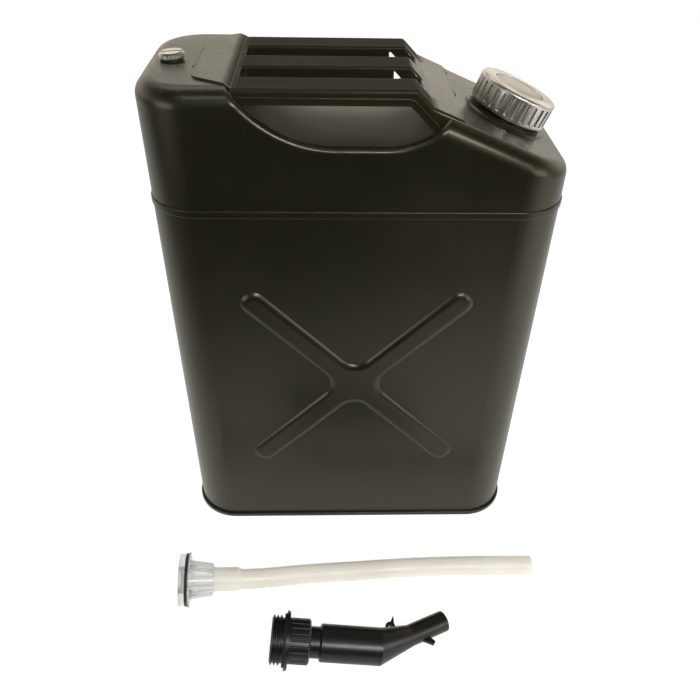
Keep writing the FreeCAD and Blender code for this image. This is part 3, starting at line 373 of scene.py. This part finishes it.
def bead_along(name, points, radius, material):
    """A thin round bead along straight stretches between points, closed at both ends."""
    data = bpy.data.curves.new(name, "CURVE")
    data.dimensions = "3D"
    data.bevel_depth = radius
    data.bevel_resolution = 3
    data.use_fill_caps = True
    line = data.splines.new("BEZIER")
    line.bezier_points.add(len(points) - 1)
    for spot, point in zip(line.bezier_points, points):
        spot.co = point
        spot.handle_left_type = "VECTOR"
        spot.handle_right_type = "VECTOR"
    data.materials.append(material)
    bead = bpy.data.objects.new(name, data)
    bpy.context.scene.collection.objects.link(bead)
    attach(bead, "can")
    return bead


def grip_hems():
    """The pressed bead half way down the handle's long flanges, front and back.

    It runs level from behind the step, turns over the bend in two short stretches and follows the leg.
    """
    bead_r = 0.0009
    below_top = 0.0096
    leg_reach = 0.0406
    start_x = handle_low[0] + 0.038
    bend_x = handle_high[0] - leg_reach
    level_z = handle_high[2] - below_top
    turn_from, turn_mid, turn_to = bend_x - 0.004, bend_x - 0.001, bend_x + 0.002
    turn_mid_drop, turn_to_drop = 0.0006, 0.0026
    leg_run = 0.027
    leg_slope = math.radians(44.0)
    leg_end_drop = 0.0007 + leg_run * math.tan(leg_slope)
    for name, y in (("grip_hem_front", handle_low[1]), ("grip_hem_back", handle_high[1])):
        points = [
            (start_x, y, level_z),
            (turn_from, y, level_z),
            (turn_mid, y, level_z - turn_mid_drop),
            (turn_to, y, level_z - turn_to_drop),
            (bend_x + leg_run, y, level_z - leg_end_drop),
        ]
        bead_along(name, points, bead_r, handle_paint)


grip_hems()

# ---------------------------------------------------------------- stage, light and camera


def plain_floor():
    """A pale sheet just under the object.

    The camera sees it evenly pale. All other rays find it lit and glowing under and behind the object and
    fading to black in front, a painted reflection that the front faces mirror as a bright sheet with an end.
    """
    side, drop = 60.0, 0.0004
    fade_from, fade_to, slant = -0.74, -0.14, 0.35
    bpy.ops.mesh.primitive_plane_add(size=side, location=(0.0, 0.0, -drop))
    floor = bpy.context.object
    floor.name = "floor"
    s = Surface("pale_floor")
    x, y, _ = s.split(s.place())
    # painted reflection: for all rays but the camera's, the floor's colour and glow fade from full under the
    # object to black in front
    painted_reflection_sheet = s.between(s.plus(y, s.times(x, slant)), fade_from, fade_to)
    shade = s.seen_or_lit(s.times(painted_reflection_sheet, 0.8), 0.22)
    # the floor glows though it is no lamp: evenly for the camera, and as painted light near the object for
    # all other rays
    glow = s.seen_or_lit(s.times(painted_reflection_sheet, 0.45), 0.95)
    floor.data.materials.append(s.finish(
        Base_Color=s.blend(shade, rgb(0.0, 0.0, 0.0), rgb(1.0, 1.0, 0.99)),
        Roughness=0.95,
        Specular_IOR_Level=0.0,
        Emission_Color=rgb(1.0, 0.995, 0.985),
        Emission_Strength=glow,
    ))
    return floor


def surroundings():
    """A white backdrop, as the camera sees it.

    All other rays find it bright low behind the object, less so beside it, dim overhead and dark on the
    viewer's side, and slightly warm.
    """
    back_level, side_level, least_level = 1.3, 0.68, 0.012
    world = bpy.data.worlds.new("studio")
    bpy.context.scene.world = world
    world.use_nodes = True
    background = world.node_tree.nodes["Background"]
    s = Nodes(world.node_tree)
    x, y, z = s.split(s.add("TexCoord", {}, "Generated"))
    low = s.between(z, 0.62, 0.30, 0.16, 1.0)
    back = s.times(s.times(s.between(y, -0.15, 0.35), low), back_level)
    beside = s.times(s.times(s.between(s.size_of(x), 0.55, 0.9), low), side_level)
    room = s.plus(s.larger(back, beside), least_level)
    s.feed(background.inputs["Strength"], s.seen_or_lit(room, 1.0))
    tint = s.blend(s.camera_ray(), rgb(1.0, 0.93, 0.79), rgb(1.0, 0.998, 0.99))
    s.feed(background.inputs["Color"], tint)


def soft_box(name, place, aim, width, height, power, colour=(1.0, 1.0, 1.0)):
    """A rectangular lamp at a place, facing a point it is aimed at."""
    data = bpy.data.lights.new(name, "AREA")
    data.shape = "RECTANGLE"
    data.size = width
    data.size_y = height
    data.energy = power
    data.color = colour
    lamp = bpy.data.objects.new(name, data)
    bpy.context.scene.collection.objects.link(lamp)
    lamp.location = place
    lamp.rotation_euler = (Vector(aim) - Vector(place)).to_track_quat("-Z", "Y").to_euler()
    return lamp


def lights():
    soft_box("overhead", (-0.25, 0.82, 1.85), (0.0, 0.0, 0.3), 1.4, 0.75, 6.0, (1.0, 0.975, 0.93))
    soft_box("key", (-0.39, -1.08, 1.81), (-0.1, -0.05, 0.4), 0.40, 0.24, 2.2, (0.84, 0.92, 1.0))
    soft_box("fill", (0.30, -0.70, 2.05), (0.05, -0.05, 0.4), 0.9, 0.4, 0.8)
    # a long narrow lamp that the lip between the front face and the top mirrors as one line
    soft_box("lip_lamp", (0.42, -1.20, 1.12), (-0.05, -0.08, 0.45), 0.80, 0.14, 13.0, (1.0, 0.98, 0.93))
    for side in (-1, 1):
        # low lamps on both sides of the viewer, for the flanks of the ribs
        soft_box("rib_lamp", (side * 0.95, -0.76, 0.44), (0.0, -0.08, 0.24), 0.62, 0.5, 2.7, (1.0, 0.97, 0.9))


def view_from(place, yaw, pitch, roll, lens_mm, rise):
    """A camera at a place in metres, turned by angles in degrees.

    rise is how far the picture is shifted up, as a share of its width.
    """
    yaw, pitch, roll = (math.radians(a) for a in (yaw, pitch, roll))
    ahead = Vector((-math.sin(yaw) * math.cos(pitch), math.cos(yaw) * math.cos(pitch), -math.sin(pitch)))
    right = Vector((math.cos(yaw), math.sin(yaw), 0.0))
    up = right.cross(ahead)
    across = math.cos(roll) * right + math.sin(roll) * up
    upright = -math.sin(roll) * right + math.cos(roll) * up
    data = bpy.data.cameras.new("camera")
    data.sensor_width = 36.0
    data.lens = lens_mm
    data.shift_y = rise
    data.clip_start = 0.01
    data.clip_end = 100.0
    camera = bpy.data.objects.new("camera", data)
    bpy.context.scene.collection.objects.link(camera)
    turn = Matrix((across, upright, -ahead)).transposed().to_4x4()
    camera.matrix_world = Matrix.Translation(place) @ turn
    bpy.context.scene.camera = camera
    return camera


plain_floor()
surroundings()
lights()
view_from(place=(-0.025, -0.618, 0.641), yaw=-2.18, pitch=40.35, roll=1.25, lens_mm=36.4114, rise=0.059)
bpy.context.scene.view_settings.view_transform = "Standard"


def corners(box):
    return [[round(value, 6) for value in corner] for corner in box]
